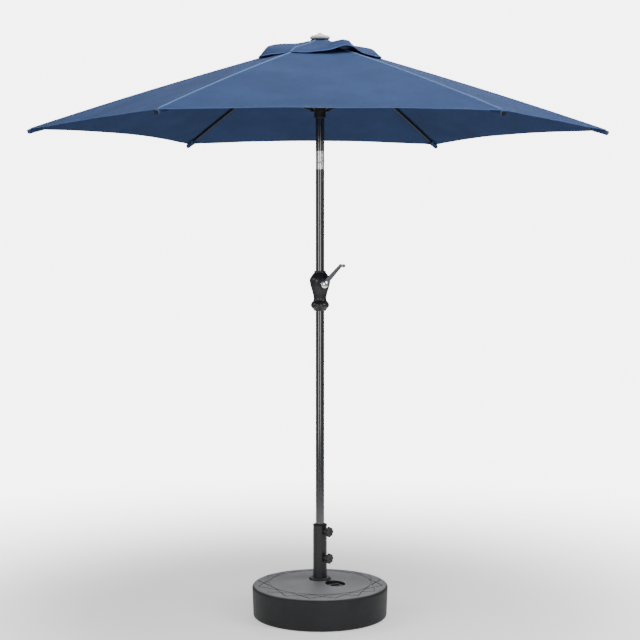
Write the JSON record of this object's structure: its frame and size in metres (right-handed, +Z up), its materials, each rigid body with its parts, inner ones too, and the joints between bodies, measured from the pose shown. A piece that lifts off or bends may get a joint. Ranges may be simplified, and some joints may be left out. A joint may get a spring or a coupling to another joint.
{
  "type": "patio umbrella with base",
  "caption": "Crank-lift, push-button-tilt patio umbrella with a vented, hollow-hemmed cloth canopy on a round weighted base.",
  "frame": {"origin": "on the ground under the pole, at the centre of the base", "axes": "+Z up along the pole, +X to the right along the first rib, -Y towards the crank side"},
  "size_m": [2.3216, 2.0158, 2.34],
  "materials": {
    "base_plastic": "satin",
    "sand": "matte",
    "black_steel": "satin",
    "trim_plastic": "satin",
    "reducer_plastic": "matte",
    "zinc_steel": "satin",
    "black_plastic": "satin",
    "gloss_pole": "gloss",
    "housing_plastic": "gloss",
    "chrome": "polished",
    "gunmetal": "satin",
    "silver_metal": "satin",
    "cord": "matte",
    "hub_plastic": "satin",
    "rib_steel": "satin",
    "cloth": "matte",
    "finial_plastic": "satin"
  },
  "bodies": {
    "base": {"base_shell": "base_plastic", "ballast_sand": "sand", "base_tube": "black_steel", "foot_ring": "trim_plastic", "tube_reducer": "reducer_plastic", "clamp_nuts": "black_steel", "base_bolt": "zinc_steel"},
    "upper_knob": {"upper_clamp_knob": "black_plastic"},
    "lower_knob": {"lower_clamp_knob": "black_plastic"},
    "filler_cap": {"fill_cap": "trim_plastic"},
    "pole_foot": {"pole_foot_plug": "black_plastic"},
    "pole": {"lower_pole": "gloss_pole", "pole_coupler": "zinc_steel", "middle_pole": "gloss_pole", "crank_housing_front": "housing_plastic", "crank_housing_rear": "housing_plastic", "housing_screws": "zinc_steel", "tilt_lower_fork": "silver_metal", "tilt_pin": "zinc_steel", "tilt_spring": "zinc_steel", "lift_cord_lower": "cord"},
    "crank": {"crank_shaft": "zinc_steel", "crank_arm": "gunmetal", "crank_cap": "chrome"},
    "handle": {"crank_handle": "silver_metal"},
    "button": {"tilt_button": "black_plastic"},
    "upper": {"tilt_upper_barrel": "silver_metal", "upper_pole": "gloss_pole", "top_hub": "hub_plastic", "hub_pins": "zinc_steel", "finial": "finial_plastic", "vent_canopy": "cloth", "lift_cord_upper": "cord"},
    "pulley": {"cord_pulley": "black_plastic"},
    "runner": {"runner": "hub_plastic", "runner_pins": "zinc_steel"},
    "rib_1": {"rib_1": "rib_steel", "rib_fittings_1": "black_plastic"},
    "strut_1": {"strut_1": "rib_steel"},
    "panel_1": {"canopy_panel_1": "cloth"},
    "rib_2": {"rib_2": "rib_steel", "rib_fittings_2": "black_plastic"},
    "strut_2": {"strut_2": "rib_steel"},
    "panel_2": {"canopy_panel_2": "cloth"},
    "rib_3": {"rib_3": "rib_steel", "rib_fittings_3": "black_plastic"},
    "strut_3": {"strut_3": "rib_steel"},
    "panel_3": {"canopy_panel_3": "cloth"},
    "rib_4": {"rib_4": "rib_steel", "rib_fittings_4": "black_plastic"},
    "strut_4": {"strut_4": "rib_steel"},
    "panel_4": {"canopy_panel_4": "cloth"},
    "rib_5": {"rib_5": "rib_steel", "rib_fittings_5": "black_plastic"},
    "strut_5": {"strut_5": "rib_steel"},
    "panel_5": {"canopy_panel_5": "cloth"},
    "rib_6": {"rib_6": "rib_steel", "rib_fittings_6": "black_plastic"},
    "strut_6": {"strut_6": "rib_steel"},
    "panel_6": {"canopy_panel_6": "cloth"}
  },
  "joints": [
    {"name": "pole_swivel", "type": "hinge", "parent": "base", "child": "pole_foot", "pos_m": [0, 0, 0.1], "axis": [0, 0, 1], "continuous": true},
    {"name": "pole_lift", "type": "slide", "parent": "pole_foot", "child": "pole", "axis": [0, 0, 1], "range_m": [0, 0.33]},
    {"name": "upper_clamp_turn", "type": "hinge", "parent": "base", "child": "upper_knob", "pos_m": [0, 0, 0.346], "axis": [0.7071, -0.7071, 0], "range_deg": [0, 1080]},
    {"name": "lower_clamp_turn", "type": "hinge", "parent": "base", "child": "lower_knob", "pos_m": [0, 0, 0.238], "axis": [0.7071, -0.7071, 0], "range_deg": [0, 1080]},
    {"name": "fill_cap_turn", "type": "hinge", "parent": "base", "child": "filler_cap", "pos_m": [0.05888, -0.0654, 0.14], "axis": [0, 0, 1], "range_deg": [0, 720]},
    {"name": "tilt", "type": "hinge", "parent": "pole", "child": "upper", "pos_m": [0, 0, 1.837], "axis": [1, 0, 0], "range_deg": [-40, 0], "deforming": ["lift_cord_lower"]},
    {"name": "tilt_button_press", "type": "slide", "parent": "pole", "child": "button", "axis": [-1, 0, 0], "range_m": [0, 0.002], "stiffness_N_per_m": 500, "springref_m": -0.002, "deforming": ["tilt_spring"]},
    {"name": "crank_turn", "type": "hinge", "parent": "pole", "child": "crank", "pos_m": [0, 0, 1.345], "axis": [0.2334, -0.9724, 0], "range_deg": [0, 2880]},
    {"name": "crank_handle_spin", "type": "hinge", "parent": "crank", "child": "handle", "pos_m": [0.08499, -0.06187, 1.41813], "axis": [0.2334, -0.9724, 0], "continuous": true},
    {"name": "canopy_fold", "type": "hinge", "parent": "upper", "child": "rib_1", "pos_m": [0.03, 0, 2.288], "axis": [0, 1, 0], "range_deg": [0, 67.3], "deforming": ["canopy_panel_1", "canopy_panel_2", "canopy_panel_3", "canopy_panel_4", "canopy_panel_5", "canopy_panel_6", "vent_canopy", "lift_cord_upper"]},
    {"name": "strut_1_fold", "type": "hinge", "parent": "rib_1", "child": "strut_1", "pos_m": [0.42763, 0, 2.16218], "axis": [0, 1, 0], "range_deg": [-134.6, 0]},
    {"name": "panel_1_gather", "type": "hinge", "parent": "rib_1", "child": "panel_1", "pos_m": [0.03, 0.01732, 2.288], "axis": [-0.7503, -0.4332, -0.4994], "range_deg": [0, 64.34]},
    {"name": "rib_2_fold", "type": "hinge", "parent": "upper", "child": "rib_2", "pos_m": [0.015, 0.02598, 2.288], "axis": [-0.866, 0.5, 0], "range_deg": [0, 67.3]},
    {"name": "strut_2_fold", "type": "hinge", "parent": "rib_2", "child": "strut_2", "pos_m": [0.21382, 0.37034, 2.16218], "axis": [-0.866, 0.5, 0], "range_deg": [-134.6, 0]},
    {"name": "panel_2_gather", "type": "hinge", "parent": "rib_2", "child": "panel_2", "pos_m": [0, 0.03464, 2.288], "axis": [0, -0.8664, -0.4994], "range_deg": [0, 64.34]},
    {"name": "rib_3_fold", "type": "hinge", "parent": "upper", "child": "rib_3", "pos_m": [-0.015, 0.02598, 2.288], "axis": [-0.866, -0.5, 0], "range_deg": [0, 67.3]},
    {"name": "strut_3_fold", "type": "hinge", "parent": "rib_3", "child": "strut_3", "pos_m": [-0.21382, 0.37034, 2.16218], "axis": [-0.866, -0.5, 0], "range_deg": [-134.6, 0]},
    {"name": "panel_3_gather", "type": "hinge", "parent": "rib_3", "child": "panel_3", "pos_m": [-0.03, 0.01732, 2.288], "axis": [0.7503, -0.4332, -0.4994], "range_deg": [0, 64.34]},
    {"name": "rib_4_fold", "type": "hinge", "parent": "upper", "child": "rib_4", "pos_m": [-0.03, 0, 2.288], "axis": [0, -1, 0], "range_deg": [0, 67.3]},
    {"name": "strut_4_fold", "type": "hinge", "parent": "rib_4", "child": "strut_4", "pos_m": [-0.42763, 0, 2.16218], "axis": [0, -1, 0], "range_deg": [-134.6, 0]},
    {"name": "panel_4_gather", "type": "hinge", "parent": "rib_4", "child": "panel_4", "pos_m": [-0.03, -0.01732, 2.288], "axis": [0.7503, 0.4332, -0.4994], "range_deg": [0, 64.34]},
    {"name": "rib_5_fold", "type": "hinge", "parent": "upper", "child": "rib_5", "pos_m": [-0.015, -0.02598, 2.288], "axis": [0.866, -0.5, 0], "range_deg": [0, 67.3]},
    {"name": "strut_5_fold", "type": "hinge", "parent": "rib_5", "child": "strut_5", "pos_m": [-0.21382, -0.37034, 2.16218], "axis": [0.866, -0.5, 0], "range_deg": [-134.6, 0]},
    {"name": "panel_5_gather", "type": "hinge", "parent": "rib_5", "child": "panel_5", "pos_m": [0, -0.03464, 2.288], "axis": [0, 0.8664, -0.4994], "range_deg": [0, 64.34]},
    {"name": "rib_6_fold", "type": "hinge", "parent": "upper", "child": "rib_6", "pos_m": [0.015, -0.02598, 2.288], "axis": [0.866, 0.5, 0], "range_deg": [0, 67.3]},
    {"name": "strut_6_fold", "type": "hinge", "parent": "rib_6", "child": "strut_6", "pos_m": [0.21382, -0.37034, 2.16218], "axis": [0.866, 0.5, 0], "range_deg": [-134.6, 0]},
    {"name": "panel_6_gather", "type": "hinge", "parent": "rib_6", "child": "panel_6", "pos_m": [0.03, -0.01732, 2.288], "axis": [-0.7503, 0.4332, -0.4994], "range_deg": [0, 64.34]},
    {"name": "runner_ride", "type": "hinge", "parent": "strut_1", "child": "runner", "pos_m": [0.03, 0, 2.03635], "axis": [0, 1, 0], "range_deg": [0, 67.3]},
    {"name": "pulley_turn", "type": "hinge", "parent": "upper", "child": "pulley", "pos_m": [0.01143, 0.0066, 2.283], "axis": [-0.5, 0.866, 0], "range_deg": [0, 2515]}
  ],
  "couplings": [
    {"joint": "crank_turn", "follows": "canopy_fold", "ratio": 42.793},
    {"joint": "strut_1_fold", "follows": "canopy_fold", "ratio": -2},
    {"joint": "panel_1_gather", "follows": "canopy_fold", "ratio": 0.956},
    {"joint": "rib_2_fold", "follows": "canopy_fold", "ratio": 1},
    {"joint": "strut_2_fold", "follows": "canopy_fold", "ratio": -2},
    {"joint": "panel_2_gather", "follows": "canopy_fold", "ratio": 0.956},
    {"joint": "rib_3_fold", "follows": "canopy_fold", "ratio": 1},
    {"joint": "strut_3_fold", "follows": "canopy_fold", "ratio": -2},
    {"joint": "panel_3_gather", "follows": "canopy_fold", "ratio": 0.956},
    {"joint": "rib_4_fold", "follows": "canopy_fold", "ratio": 1},
    {"joint": "strut_4_fold", "follows": "canopy_fold", "ratio": -2},
    {"joint": "panel_4_gather", "follows": "canopy_fold", "ratio": 0.956},
    {"joint": "rib_5_fold", "follows": "canopy_fold", "ratio": 1},
    {"joint": "strut_5_fold", "follows": "canopy_fold", "ratio": -2},
    {"joint": "panel_5_gather", "follows": "canopy_fold", "ratio": 0.956},
    {"joint": "rib_6_fold", "follows": "canopy_fold", "ratio": 1},
    {"joint": "strut_6_fold", "follows": "canopy_fold", "ratio": -2},
    {"joint": "panel_6_gather", "follows": "canopy_fold", "ratio": 0.956},
    {"joint": "runner_ride", "follows": "canopy_fold", "ratio": 1},
    {"joint": "pulley_turn", "follows": "canopy_fold", "ratio": 37.352}
  ]
}
